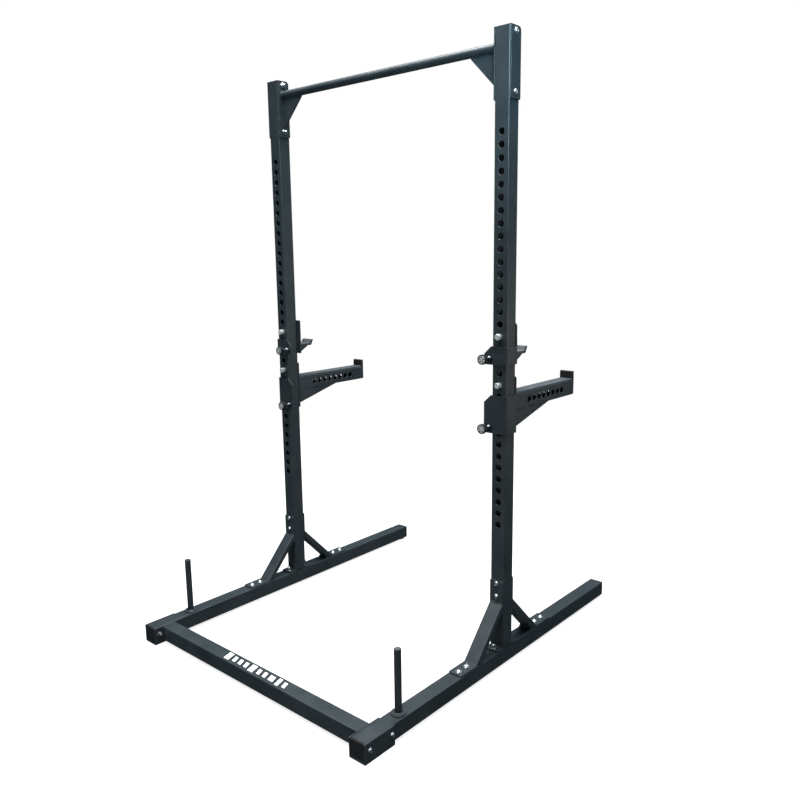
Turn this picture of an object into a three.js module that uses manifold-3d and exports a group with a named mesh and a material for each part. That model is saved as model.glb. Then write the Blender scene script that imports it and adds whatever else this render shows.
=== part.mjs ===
// Half rack for barbell squats: two perforated uprights on a runner base, a pull-up bar,
// a pair of J-hooks and a pair of safety arms. Millimetres, +Z up, floor at z = 0.
// +X is the right side, +Y is the open end that the lifter walks in from.
import * as THREE from 'three';
import { mergeVertices } from 'three/addons/utils/BufferGeometryUtils.js';
import Module from 'manifold-3d';

const wasm = await Module();
wasm.setup();

// ---- Driving dimensions ------------------------------------------------------------
const outerWidth = 1250;        // across the outer faces of the two sides
const runnerLength = 1590;      // front face of the front caps to rear face of the rear caps
const tube = 60;                // square tube of the runners, uprights, crossmember and arms
const wall = 3;                 // wall of that tube
const gap = 0.3;                // left between pieces that are bolted together or rest on each other

const basePlate = 10;           // plate under each runner's front end, and the foot height
const cheek = 5;                // side plates of the crossmember brackets
const bracketReach = 141;       // length of those brackets along the runner
const crossSetback = 37;        // crossmember behind the front end
const uprightSetback = 771;     // upright's front face behind the front end

const frontCap = 6;             // visible thickness of the front end caps
const rearCap = 10;             // visible thickness of the rear end caps
const capPlug = 20;             // how far a cap reaches into its tube
const rearFootRadius = 19;
const rearFootInset = 25;       // foot centre from the rear end

const pegRadius = 12.5;         // band and plate post on each runner
const pegHeight = 232;
const pegFlangeRadius = 26.5;
const pegFlangeThickness = 5;
const pegSetback = 198;         // post centre behind the front end

const holePitch = 44;
const holeRadius = 12;
const lowestHole = 495;         // centre above the runner's top
const highestHole = 1905;       // holes stop at or below this height
const holeSides = 8;

const uprightTop = 2236;        // top of the upright tube above the runner's top
const footFlange = 6;           // plate under each upright
const footFlangeReach = 37;     // how far it shows in front and behind

const braceDepth = 25;          // brace tube, measured square to its length
const braceWall = 2.5;
const bracePlate = 6;
const braceTopAttach = 187;     // where the brace's upper face meets its vertical plate
const bracePlateTop = 276;
const bracePlateBottom = 146;
const braceInset = 1;           // each side, from the tube's faces
const frontBraceRun = 172;      // upper face reaches the foot plate this far from the upright
const rearBraceRun = 185;
const frontFootEnd = 266;       // far end of the foot plate from the upright
const rearFootEnd = 285;
const footPlateOverlap = 10;    // foot plate beyond the brace's lower face
const braceBoltHeights = [211, 262];

const topPlate = 5;             // pull-up bar brackets
const bracketDrop = 235;        // their height
const bracketCorner = 14;       // rounded rear corner at the top
const topBoltDrops = [18, 212]; // bolt centres below the bracket's top
const barRadius = 16.5;
const barDrop = 59;             // bar centre below the bracket's top
const gussetReach = 115;
const gussetDrop = 118;         // gusset height below the bar's underside
const gussetThickness = 8;

const boltRadius = 6;
const boltClearance = 0.5;
const headRadius = 10;
const headHeight = 6;
const nutHeight = 9;
const boltSides = 10;
const crossBoltSetbacks = [23, 128]; // bolt centres behind the front end

// Hooks: measured from the centre of the stud that hangs each one in a pin hole.
const studClearance = 0.2;      // to the flats of a hole
const studReach = 18;           // stud in front of the upright
const sleeveClearance = 1;      // between a sleeve and the upright
const sleevePlate = 5;
const rearPlate = 6;
const weldLap = 1;              // web and rear plate run into each other at their weld
const hookSleeveTop = -35;
const flangeReach = 32;         // front flange beyond the upright's inner face
const flangeChamfer = 28;
const hookSleeveBottom = -102;
const hookRearTop = 50;
const hookRearCorner = 14;      // bevelled outer top corner
const hookRearInboard = 20;     // hook's rear plate beyond the upright's inner face
const saddleInboard = 10;       // saddle beyond the upright's inner face
const saddleWidth = 63;
const saddleFloor = -64;        // top of the saddle plate
const saddlePlate = 6;
const saddleDepth = 65;         // from the rear plate to the foot of the lip
const lipHeight = 20;
const lipLean = 12;
const hookGussetReach = 49;
const hookLiner = 4.5;
const hookLinerTop = -4;
const saddleLiner = 4;

const armSleeveTop = -38;       // also the top of the arm's tube
const armSleeveBottom = -180;
const armRearTop = 29;
const armRearCorner = 6;
const armReach = 422;           // arm tube beyond the rear plate
const stopPlate = 6;
const stopPad = 5;
const stopTop = -3;
const armLiner = 5;
const armHoleCount = 8;
const armHolePitch = 34.3;
const armHoleStart = 93;        // first hole centre from the rear plate
const armHoleRadius = 12;
const armGussetReach = 233;
const armGussetBottom = -159;

// Pull pins, in front of each sleeve's flange just inboard of the upright.
const pinRadius = 6;
const pinSideClearance = 1.5;   // pin to the upright's inner face
const pinRise = 23;             // pin centre above the sleeve's lower edge
const pinTipDepth = 1;          // parked tip inside the flange's rear face
const barrelWall = 1.6;         // of the pin housing's barrel
const nutWall = 4.6;            // of its hexagon, at the corners
const housingLength = 12;
const pinBoreClearance = 0.4;
const knobRadius = 18.5;
const knobLength = 24;
const knobFace = 59;            // knob's front face in front of the upright, pin parked out
const hookHoles = { right: 16, left: 15 };
const armHoles = { right: 12, left: 11 };

// ---- Derived places ----------------------------------------------------------------
const front = -runnerLength / 2;
const rear = runnerLength / 2;
const sideX = outerWidth / 2 - tube / 2;
const runnerBottom = basePlate + gap;
const runnerTop = runnerBottom + tube;
const uprightFront = front + uprightSetback;
const uprightBack = uprightFront + tube;
const uprightMid = uprightFront + tube / 2;
const rackTop = runnerTop + uprightTop + gap + topPlate;
const holeCount = Math.floor((highestHole - lowestHole) / holePitch) + 1;
const studRadius = holeRadius * Math.cos(Math.PI / holeSides) - studClearance;
const barrelRadius = pinRadius + pinBoreClearance + barrelWall;
const housingRadius = pinRadius + pinBoreClearance + nutWall;
const holeHeight = (index) => runnerTop + lowestHole + index * holePitch;
const sides = [['left', -1], ['right', 1]];

// ---- Materials ---------------------------------------------------------------------
const paint = new THREE.MeshStandardMaterial({ color: 0x3c4346, roughness: 0.45, metalness: 0.3 });
const zinc = new THREE.MeshStandardMaterial({ color: 0xc9ccce, roughness: 0.3, metalness: 0.9 });
const chrome = new THREE.MeshStandardMaterial({ color: 0xdfe2e4, roughness: 0.12, metalness: 1 });
const rubber = new THREE.MeshStandardMaterial({ color: 0x151617, roughness: 0.8, metalness: 0 });
const plastic = new THREE.MeshStandardMaterial({ color: 0x1b1c1e, roughness: 0.5, metalness: 0 });
const liner = new THREE.MeshStandardMaterial({ color: 0x7d8789, roughness: 0.6, metalness: 0 });

// ---- Solids ------------------------------------------------------------------------
function solid(geometry) {
  const shape = geometry.clone();
  shape.deleteAttribute('normal');
  shape.deleteAttribute('uv');
  const merged = mergeVertices(shape, 1e-4);
  const mesh = new wasm.Mesh({
    numProp: 3,
    vertProperties: new Float32Array(merged.attributes.position.array),
    triVerts: new Uint32Array(merged.index.array),
  });
  return new wasm.Manifold(mesh);
}

function block(x, y, z) {
  const size = [x, y, z].map(([low, high]) => Math.abs(high - low));
  const middle = [x, y, z].map(([low, high]) => (low + high) / 2);
  return solid(new THREE.BoxGeometry(...size).translate(...middle));
}

function rodX(radius, [low, high], y, z, sideCount = 24) {
  const rod = new THREE.CylinderGeometry(radius, radius, Math.abs(high - low), sideCount);
  return solid(rod.rotateZ(Math.PI / 2).translate((low + high) / 2, y, z));
}

function rodY(radius, [low, high], x, z, sideCount = 24) {
  const rod = new THREE.CylinderGeometry(radius, radius, Math.abs(high - low), sideCount);
  return solid(rod.translate(x, (low + high) / 2, z));
}

function rodZ(radius, [low, high], x, y, sideCount = 24) {
  const rod = new THREE.CylinderGeometry(radius, radius, Math.abs(high - low), sideCount);
  return solid(rod.rotateX(Math.PI / 2).translate(x, y, (low + high) / 2));
}

// Outline in (y, z), extruded along X.
function slabX(points, [low, high]) {
  const outline = new THREE.Shape(points.map(([y, z]) => new THREE.Vector2(y, z)));
  const depth = Math.abs(high - low);
  const slab = new THREE.ExtrudeGeometry(outline, { depth, bevelEnabled: false });
  const basis = new THREE.Matrix4().makeBasis(
    new THREE.Vector3(0, 1, 0), new THREE.Vector3(0, 0, 1), new THREE.Vector3(1, 0, 0));
  return solid(slab.applyMatrix4(basis).translate(Math.min(low, high), 0, 0));
}

// Outline in (x, z), extruded along Y.
function slabY(points, [low, high]) {
  const outline = new THREE.Shape(points.map(([x, z]) => new THREE.Vector2(x, z)));
  const slab = new THREE.ExtrudeGeometry(outline, { depth: high - low, bevelEnabled: false });
  const basis = new THREE.Matrix4().makeBasis(
    new THREE.Vector3(1, 0, 0), new THREE.Vector3(0, 0, 1), new THREE.Vector3(0, -1, 0));
  return solid(slab.applyMatrix4(basis).translate(0, high, 0));
}

function join(...parts) {
  return parts.reduce((whole, part) => whole.add(part));
}

function cut(base, ...tools) {
  return tools.reduce((rest, tool) => rest.subtract(tool), base);
}

function piece(name, shape, material) {
  const { vertProperties, triVerts, numProp } = shape.getMesh();
  const geometry = new THREE.BufferGeometry();
  const positions = new Float32Array((vertProperties.length / numProp) * 3);
  for (let i = 0; i < positions.length / 3; i++) {
    positions.set(vertProperties.slice(i * numProp, i * numProp + 3), i * 3);
  }
  geometry.setAttribute('position', new THREE.BufferAttribute(positions, 3));
  geometry.setIndex(new THREE.BufferAttribute(new Uint32Array(triVerts), 1));
  geometry.computeVertexNormals();
  const mesh = new THREE.Mesh(geometry, material);
  mesh.name = name;
  return mesh;
}

const rack = new THREE.Group();
rack.name = 'half_rack';

// A bolt along X: round head on the outer side, hex nut on the inner side.
function crossBolt(side, outer, inner, y, z) {
  const headFrom = outer + gap;
  const nutFrom = inner - gap;
  return join(
    rodX(boltRadius, [side * (nutFrom - nutHeight - 4), side * (headFrom + 1)], y, z, boltSides),
    rodX(headRadius, [side * headFrom, side * (headFrom + headHeight)], y, z, boltSides),
    rodX(headRadius, [side * (nutFrom - nutHeight), side * nutFrom], y, z, 6));
}

// ---- Base --------------------------------------------------------------------------
const bracketOuter = outerWidth / 2 + gap + cheek;
const bracketInner = outerWidth / 2 - tube - gap - cheek;
const crossBack = front + crossSetback + tube;
const crossSpan = [front + crossSetback, crossBack];
const boltHole = boltRadius + boltClearance;
const runnerMid = runnerTop - tube / 2;
// The front bolt runs right through; the rear one ends in a nut held inside the runner.
const crossNutSeats = [bracketInner, outerWidth / 2 - wall];
const crossHoleStarts = [bracketInner - 5, sideX];

let crossmember = block([-bracketInner - 1, bracketInner + 1], crossSpan, [runnerBottom, runnerTop]);
crossmember = cut(crossmember, block([-bracketInner + wall, bracketInner - wall],
  [crossSpan[0] + wall, crossSpan[1] - wall], [runnerBottom + wall, runnerTop - wall]));
for (const [, side] of sides) {
  const length = [front, front + bracketReach];
  const inner = block([side * bracketInner, side * (bracketInner + cheek)], length, [0, runnerTop]);
  const outer = block([side * bracketOuter, side * (bracketOuter - cheek)], length, [0, runnerTop]);
  const sole = block([side * bracketInner, side * bracketOuter], length, [0, basePlate]);
  const drain = rodZ(8, [runnerBottom - 5, runnerBottom + wall + 5],
    side * (bracketInner - 60), (crossSpan[0] + crossSpan[1]) / 2, 8);
  crossmember = cut(join(crossmember, inner, outer, sole), drain);
  crossBoltSetbacks.forEach((setback, i) => {
    const acrossBracket = [side * crossHoleStarts[i], side * (bracketOuter + 5)];
    crossmember = cut(crossmember, rodX(boltHole, acrossBracket, front + setback, runnerMid, 12));
  });
}
rack.add(piece('crossmember', crossmember, paint));

for (const [label, side] of sides) {
  const centre = side * sideX;
  const across = [centre - tube / 2, centre + tube / 2];
  const bore = [centre - tube / 2 + wall, centre + tube / 2 - wall];
  const tubeSpan = [front + frontCap + gap, rear - rearCap - gap];
  let runner = block(across, tubeSpan, [runnerBottom, runnerTop]);
  runner = cut(runner, block(bore, [front, rear], [runnerBottom + wall, runnerTop - wall]));
  crossBoltSetbacks.forEach((setback, i) => {
    const acrossRunner = [side * crossHoleStarts[i], side * (bracketOuter + 5)];
    runner = cut(runner, rodX(boltHole, acrossRunner, front + setback, runnerMid, 12));
  });
  rack.add(piece(`runner_${label}`, runner, paint));

  const plugAcross = [bore[0] + gap, bore[1] - gap];
  const plugHeight = [runnerBottom + wall + gap, runnerTop - wall - gap];
  // Front plugs stop short of the first bolt.
  const frontPlug = crossBoltSetbacks[0] - boltHole - 2;
  const nose = join(
    block(across, [front, front + frontCap], [runnerBottom, runnerTop]),
    block(plugAcross, [front + frontCap - 1, front + frontPlug], plugHeight));
  rack.add(piece(`runner_front_cap_${label}`, nose, plastic));
  const tail = join(
    block(across, [rear - rearCap, rear], [runnerBottom, runnerTop]),
    block(plugAcross, [rear - rearCap - capPlug, rear - rearCap + 1], plugHeight));
  rack.add(piece(`runner_rear_cap_${label}`, tail, plastic));

  rack.add(piece(`rear_foot_${label}`,
    rodZ(rearFootRadius, [0, runnerBottom - gap], centre, rear - rearFootInset), rubber));

  const pegY = front + pegSetback;
  const pegBase = runnerTop + gap;
  const peg = join(
    rodZ(pegFlangeRadius, [pegBase, pegBase + pegFlangeThickness], centre, pegY, 32),
    rodZ(pegRadius, [pegBase + 1, runnerTop + pegHeight], centre, pegY));
  rack.add(piece(`band_peg_${label}`, peg, paint));

  crossBoltSetbacks.forEach((setback, i) => {
    rack.add(piece(`base_bolt_${label}_${i + 1}`,
      crossBolt(side, bracketOuter, crossNutSeats[i], front + setback, runnerMid), zinc));
  });
}

// ---- Uprights and their braces -----------------------------------------------------
// One brace in side view, run away from the upright in steps of `away` (+1 rearwards).
function brace(centre, face, away, run, footEnd) {
  const half = tube / 2 - braceInset;
  const across = [centre - half, centre + half];
  const bore = [centre - half + braceWall, centre + half - braceWall];
  const y = (distance) => face + away * distance;
  const z = (height) => runnerTop + height;
  const plateFace = gap + bracePlate;
  const slope = Math.atan2(braceTopAttach - bracePlate, run - plateFace);
  const drop = (depth) => depth / Math.cos(slope);
  const back = (depth) => depth / Math.sin(slope);
  // Strip between two depths below the upper face, from inside one plate to inside the other.
  const strip = (upper, lower) => [
    [y(plateFace - 1), z(braceTopAttach + Math.tan(slope) - drop(upper))],
    [y(run + 1 / Math.tan(slope) - back(upper)), z(bracePlate - 1)],
    [y(run + 1 / Math.tan(slope) - back(lower)), z(bracePlate - 1)],
    [y(plateFace - 1), z(braceTopAttach + Math.tan(slope) - drop(lower))],
  ];
  const upright = block(across, [y(gap), y(plateFace)], [z(bracePlateBottom), z(bracePlateTop)]);
  const foot = block(across, [y(run - back(braceDepth) - footPlateOverlap), y(footEnd)],
    [z(gap), z(bracePlate)]);
  const body = slabX(strip(0, braceDepth), across);
  const hollow = slabX(strip(braceWall, braceDepth - braceWall), bore);
  const weep = rodZ(3, [z(bracePlate + 12), z(bracePlate + 60)], centre,
    y(run - back(braceDepth) - 24), 8);
  let whole = join(cut(join(body), cut(hollow, upright, foot)), upright, foot);
  whole = cut(whole, weep);
  for (const height of braceBoltHeights) {
    const through = [face - 2 * tube, face + 2 * tube];
    whole = cut(whole, rodY(boltHole, through, centre, z(height), 12));
  }
  return whole;
}

for (const [label, side] of sides) {
  const centre = side * sideX;
  const across = [centre - tube / 2, centre + tube / 2];
  const bore = [centre - tube / 2 + wall, centre + tube / 2 - wall];
  const foot = runnerTop + gap;
  let upright = block(across, [uprightFront, uprightBack], [foot + 1, runnerTop + uprightTop]);
  upright = upright.add(block(across,
    [uprightFront - footFlangeReach, uprightBack + footFlangeReach], [foot, foot + footFlange]));
  upright = cut(upright, block(bore, [uprightFront + wall, uprightBack - wall],
    [foot + footFlange, runnerTop + uprightTop + 5]));
  upright = cut(upright, rodZ(12, [foot - 5, foot + footFlange + 5], centre, uprightMid, 8));
  for (let i = 0; i < holeCount; i++) {
    upright = cut(upright, rodY(holeRadius, [uprightFront - 5, uprightBack + 5],
      centre, holeHeight(i), holeSides));
  }
  for (const height of braceBoltHeights) {
    upright = cut(upright, rodY(boltHole, [uprightFront - 5, uprightBack + 5],
      centre, runnerTop + height, 12));
  }
  for (const drop of topBoltDrops) {
    upright = cut(upright, rodX(boltHole, [across[0] - 5, across[1] + 5], uprightMid, rackTop - drop, 12));
  }
  rack.add(piece(`upright_${label}`, upright, paint));

  rack.add(piece(`front_brace_${label}`,
    brace(centre, uprightFront, -1, frontBraceRun, frontFootEnd), paint));
  rack.add(piece(`rear_brace_${label}`,
    brace(centre, uprightBack, 1, rearBraceRun, rearFootEnd), paint));

  // Bolts through both brace plates and the upright: head in front, nut behind.
  braceBoltHeights.forEach((height, i) => {
    const z = runnerTop + height;
    const headFrom = uprightFront - gap - bracePlate - gap;
    const nutFrom = uprightBack + gap + bracePlate + gap;
    const bolt = join(
      rodY(boltRadius, [headFrom - 1, nutFrom + nutHeight + 4], centre, z, boltSides),
      rodY(headRadius, [headFrom - headHeight, headFrom], centre, z, boltSides),
      rodY(headRadius, [nutFrom, nutFrom + nutHeight], centre, z, 6));
    rack.add(piece(`brace_bolt_${label}_${i + 1}`, bolt, zinc));
  });
}

// ---- Pull-up bar -------------------------------------------------------------------
const topOuter = outerWidth / 2 + gap + topPlate;
const topInner = outerWidth / 2 - tube - gap - topPlate;
const barHeight = rackTop - barDrop;
for (const [label, side] of sides) {
  const low = rackTop - bracketDrop;
  const lead = uprightFront + gap;
  const tail = uprightBack + gap;
  const corner = new THREE.EllipseCurve(tail - bracketCorner, rackTop - bracketCorner,
    bracketCorner, bracketCorner, 0, Math.PI / 2).getPoints(6).map(({ x, y }) => [x, y]);
  const outline = [[lead, low], [tail, low], ...corner, [lead, rackTop]];
  const outer = slabX(outline, [side * (topOuter - topPlate), side * topOuter]);
  const inner = slabX(outline, [side * topInner, side * (topInner + topPlate)]);
  const cap = block([side * topInner, side * topOuter],
    [lead, tail - bracketCorner], [rackTop - topPlate, rackTop]);
  const underBar = barHeight - barRadius - gap;
  const gusset = slabY([
    [side * (topInner + 1), underBar],
    [side * (topInner - gussetReach), underBar],
    [side * (topInner - gussetReach), underBar - 4],
    [side * (topInner - 4), underBar - gussetDrop],
    [side * (topInner + 1), underBar - gussetDrop],
  ], [uprightMid - gussetThickness / 2, uprightMid + gussetThickness / 2]);
  let bracket = join(outer, inner, cap, gusset);
  for (const drop of topBoltDrops) {
    bracket = cut(bracket, rodX(boltHole, [side * (topInner - 5), side * (topOuter + 5)],
      uprightMid, rackTop - drop, 12));
  }
  rack.add(piece(`top_bracket_${label}`, bracket, paint));
  topBoltDrops.forEach((drop, i) => {
    rack.add(piece(`top_bolt_${label}_${i + 1}`,
      crossBolt(side, topOuter, topInner, uprightMid, rackTop - drop), zinc));
  });
}
const barEnd = topInner - gap;
rack.add(piece('pull_up_bar', rodX(barRadius, [-barEnd, barEnd], uprightMid, barHeight, 32), paint));

// ---- Sleeves, J-hooks and safety arms ----------------------------------------------
// Local frame of a hook: origin on the stud's axis at the upright's front face.
const sleeveIn = tube / 2 + sleeveClearance;
const flangeBack = -sleeveClearance;
const flangeFront = flangeBack - sleevePlate;
const rearFrom = tube + sleeveClearance;
const rearTo = rearFrom + rearPlate;
const pinOffset = tube / 2 + pinSideClearance + pinRadius;

function sleeve(side, bottom, top, rearTop, rearInboard, rearCorner) {
  const web = block([side * sleeveIn, side * (sleeveIn + sleevePlate)],
    [flangeFront, rearFrom + weldLap], [bottom, top]);
  const inboard = -(tube / 2 + flangeReach);
  const flange = slabY([
    [side * (sleeveIn + sleevePlate), bottom],
    [side * (sleeveIn + sleevePlate), top],
    [side * (inboard + flangeChamfer + 2), top],
    [side * inboard, top - flangeChamfer],
    [side * inboard, bottom],
  ], [flangeFront, flangeBack]);
  const rearOutboard = sleeveIn + weldLap;
  const back = slabY([
    [side * -(tube / 2 + rearInboard), bottom],
    [side * rearOutboard, bottom],
    [side * rearOutboard, rearTop - rearCorner],
    [side * (rearOutboard - rearCorner), rearTop],
    [side * -(tube / 2 + rearInboard), rearTop],
  ], [rearFrom, rearTo]);
  const bore = rodY(pinRadius + pinBoreClearance, [flangeFront - 5, flangeBack + 5],
    -side * pinOffset, bottom + pinRise, 16);
  return cut(join(web, flange, back), bore);
}

function pullPin(group, name, side, bottom) {
  const x = -side * pinOffset;
  const z = bottom + pinRise;
  const seat = flangeFront - gap;
  const housing = cut(
    join(rodY(housingRadius, [seat - housingLength * 0.6, seat], x, z, 6),
      rodY(barrelRadius, [seat - housingLength, seat - 1], x, z)),
    rodY(pinRadius + pinBoreClearance, [seat - housingLength - 5, seat + 5], x, z, 16));
  group.add(piece(`${name}_pin_housing`, housing, zinc));
  const grip = -knobFace + knobLength;
  group.add(piece(`${name}_pin`,
    rodY(pinRadius, [grip - 12, flangeBack - pinTipDepth], x, z, 16), chrome));
  const knob = cut(rodY(knobRadius, [-knobFace, grip], x, z, 24),
    rodY(pinRadius + gap, [grip - 12 - gap, grip + 5], x, z, 16));
  group.add(piece(`${name}_knob`, knob, plastic));
}

function stud(group, name) {
  group.add(piece(`${name}_stud`,
    rodY(studRadius, [-studReach, rearFrom - gap], 0, 0, 24), chrome));
}

for (const [label, side] of sides) {
  // J-hook
  const hook = new THREE.Group();
  const hookName = `jhook_${label}`;
  hook.position.set(side * sideX, uprightFront, holeHeight(hookHoles[label]));
  const saddleSpan = [-side * (tube / 2 + saddleInboard),
    -side * (tube / 2 + saddleInboard - saddleWidth)];
  const lipFoot = rearTo + saddleDepth;
  const floorUnder = saddleFloor - saddlePlate;
  const lipBack = Math.hypot(lipLean, lipHeight) * saddlePlate / lipHeight;
  const saddle = slabX([
    [rearTo - 1, floorUnder],
    [lipFoot + lipBack, floorUnder],
    [lipFoot + lipBack, saddleFloor],
    [lipFoot + lipBack + lipLean, saddleFloor + lipHeight],
    [lipFoot + lipLean, saddleFloor + lipHeight],
    [lipFoot, saddleFloor],
    [rearTo - 1, saddleFloor],
  ], saddleSpan);
  const support = slabX([
    [rearTo - 1, hookSleeveBottom + 2],
    [rearTo + hookGussetReach, floorUnder - 2],
    [rearTo + hookGussetReach, floorUnder + 1],
    [rearTo - 1, floorUnder + 1],
  ], saddleSpan);
  const hookFrame = join(
    sleeve(side, hookSleeveBottom, hookSleeveTop, hookRearTop, hookRearInboard, hookRearCorner),
    saddle, support);
  hook.add(piece(`${hookName}_frame`, hookFrame, paint));
  stud(hook, hookName);
  hook.add(piece(`${hookName}_back_liner`, block(
    [saddleSpan[0] + side, side * (tube / 2)],
    [rearTo + gap, rearTo + hookLiner], [saddleFloor + gap, hookLinerTop]), plastic));
  const linerFrom = rearTo + hookLiner + gap;
  const seatTop = saddleFloor + gap + saddleLiner;
  const lean = lipLean / lipHeight;
  const lipAt = (height) => lipFoot + (height - saddleFloor) * lean;
  const linerHigh = saddleFloor + lipHeight - 1;
  const seatLiner = slabX([
    [linerFrom, saddleFloor + gap],
    [lipAt(saddleFloor + gap) - gap, saddleFloor + gap],
    [lipAt(linerHigh) - gap, linerHigh],
    [lipAt(linerHigh) - gap - saddleLiner, linerHigh],
    [lipAt(seatTop) - gap - saddleLiner, seatTop],
    [linerFrom, seatTop],
  ], [saddleSpan[0] + side, saddleSpan[1] - side]);
  hook.add(piece(`${hookName}_saddle_liner`, seatLiner, liner));
  pullPin(hook, hookName, side, hookSleeveBottom);
  rack.add(hook);

  // Safety arm
  const arm = new THREE.Group();
  const armName = `safety_arm_${label}`;
  arm.position.set(side * sideX, uprightFront, holeHeight(armHoles[label]));
  const half = tube / 2;
  const armTop = armSleeveTop;
  const armBottom = armTop - tube;
  const armEnd = rearTo + armReach;
  let beam = block([-half, half], [rearTo - 1, armEnd + 1], [armBottom, armTop]);
  const gusset = slabX([
    [rearTo - 1, armGussetBottom],
    [rearTo, armGussetBottom],
    [rearTo + armGussetReach, armBottom],
    [rearTo + armGussetReach, armBottom + 1],
    [rearTo - 1, armBottom + 1],
  ], [-half, half]);
  const gussetCore = slabX([
    [rearTo, armGussetBottom + 2 * wall],
    [rearTo + armGussetReach - 6 * wall, armBottom],
    [rearTo + armGussetReach - 6 * wall, armBottom + wall + 1],
    [rearTo, armBottom + wall + 1],
  ], [-half + wall, half - wall]);
  const bore = block([-half + wall, half - wall], [rearTo, armEnd], [armBottom + wall, armTop - wall]);
  beam = cut(join(beam, gusset), bore, gussetCore);
  const stop = block([-half, half], [armEnd, armEnd + stopPlate], [armBottom, stopTop]);
  let frame = join(
    sleeve(side, armSleeveBottom, armSleeveTop, armRearTop, 0, armRearCorner), beam, stop);
  for (let i = 0; i < armHoleCount; i++) {
    frame = cut(frame, rodX(armHoleRadius, [-tube, tube],
      rearTo + armHoleStart + i * armHolePitch, (armTop + armBottom) / 2, holeSides));
  }
  arm.add(piece(`${armName}_frame`, frame, paint));
  stud(arm, armName);
  arm.add(piece(`${armName}_liner`, block([-half + 3, half - 3],
    [rearTo + gap, armEnd - gap - stopPad - gap], [armTop + gap, armTop + gap + armLiner]), liner));
  arm.add(piece(`${armName}_stop_pad`, block([-half + 2, half - 2],
    [armEnd - gap - stopPad, armEnd - gap], [armTop + gap, stopTop - 2]), plastic));
  pullPin(arm, armName, side, armSleeveBottom);
  rack.add(arm);
}

export default rack;
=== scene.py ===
"""Half rack for barbell squats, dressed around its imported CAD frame.

Lengths are in mm until a mesh is made; light, camera and floor are in metres.
"""
import math

import bmesh
import bpy
from mathutils import Matrix, Vector


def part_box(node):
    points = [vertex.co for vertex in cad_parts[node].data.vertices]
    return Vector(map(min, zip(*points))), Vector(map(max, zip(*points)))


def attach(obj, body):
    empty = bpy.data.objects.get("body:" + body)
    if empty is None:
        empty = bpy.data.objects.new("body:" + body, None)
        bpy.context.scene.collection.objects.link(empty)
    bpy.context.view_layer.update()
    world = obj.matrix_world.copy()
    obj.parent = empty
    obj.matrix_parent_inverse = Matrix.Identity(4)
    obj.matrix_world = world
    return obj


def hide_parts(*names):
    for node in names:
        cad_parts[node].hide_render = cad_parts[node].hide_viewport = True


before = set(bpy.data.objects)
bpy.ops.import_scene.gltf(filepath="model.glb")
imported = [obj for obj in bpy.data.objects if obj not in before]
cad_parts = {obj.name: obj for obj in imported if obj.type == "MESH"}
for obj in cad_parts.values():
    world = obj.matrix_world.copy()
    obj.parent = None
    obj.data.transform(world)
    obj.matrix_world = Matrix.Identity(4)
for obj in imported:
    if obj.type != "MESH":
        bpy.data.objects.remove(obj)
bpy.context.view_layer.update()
scene = bpy.context.scene
MM = 1000.0


def box(node):
    low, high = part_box(node)
    return low * MM, high * MM


# ---- Materials -----------------------------------------------------------------------
NOISE_ROUGHNESS = 0.55
CLOUD_LOW, CLOUD_HIGH = 0.3, 0.7  # the part of the noise's range that shows


def material(name, color, roughness, metallic=0.0, specular=0.5):
    mat = bpy.data.materials.new(name)
    mat.use_nodes = True
    shader = mat.node_tree.nodes["Principled BSDF"]
    shader.inputs["Base Color"].default_value = (*color, 1)
    shader.inputs["Roughness"].default_value = roughness
    shader.inputs["Metallic"].default_value = metallic
    shader.inputs["Specular IOR Level"].default_value = specular
    return mat


def noise(mat, scale, detail, stretch=(1, 1, 1)):
    """Cloudy noise fixed to the piece, about `scale` clouds to the metre."""
    nodes, links = mat.node_tree.nodes, mat.node_tree.links
    place = nodes.new("ShaderNodeTexCoord")
    size = nodes.new("ShaderNodeMapping")
    size.inputs["Scale"].default_value = stretch
    cloud = nodes.new("ShaderNodeTexNoise")
    cloud.inputs["Scale"].default_value = scale
    cloud.inputs["Detail"].default_value = detail
    cloud.inputs["Roughness"].default_value = NOISE_ROUGHNESS
    links.new(place.outputs["Object"], size.inputs["Vector"])
    links.new(size.outputs["Vector"], cloud.inputs["Vector"])
    return cloud.outputs["Fac"]


def ramp(mat, value, low, high):
    nodes, links = mat.node_tree.nodes, mat.node_tree.links
    blend = nodes.new("ShaderNodeValToRGB")
    blend.color_ramp.elements[0].position = CLOUD_LOW
    blend.color_ramp.elements[1].position = CLOUD_HIGH
    blend.color_ramp.elements[0].color = (*low, 1)
    blend.color_ramp.elements[1].color = (*high, 1)
    links.new(value, blend.inputs["Fac"])
    return blend.outputs["Color"]


def shade(mat, socket, value, low, high):
    """A colour or a plain number that drifts between two limits with the noise."""
    links = mat.node_tree.links
    target = mat.node_tree.nodes["Principled BSDF"].inputs[socket]
    if isinstance(low, tuple):
        links.new(ramp(mat, value, low, high), target)
        return
    spread = mat.node_tree.nodes.new("ShaderNodeMapRange")
    spread.inputs["From Min"].default_value = CLOUD_LOW
    spread.inputs["From Max"].default_value = CLOUD_HIGH
    spread.inputs["To Min"].default_value = low
    spread.inputs["To Max"].default_value = high
    links.new(value, spread.inputs["Value"])
    links.new(spread.outputs["Result"], target)


def bump(mat, value, depth, strength):
    """Relief of a depth in metres, added on top of any relief the material has."""
    nodes, links = mat.node_tree.nodes, mat.node_tree.links
    relief = nodes.new("ShaderNodeBump")
    relief.inputs["Strength"].default_value = strength
    relief.inputs["Distance"].default_value = depth
    links.new(value, relief.inputs["Height"])
    shader = nodes["Principled BSDF"]
    if shader.inputs["Normal"].is_linked:
        links.new(shader.inputs["Normal"].links[0].from_socket, relief.inputs["Normal"])
    links.new(relief.outputs["Normal"], shader.inputs["Normal"])


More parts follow.
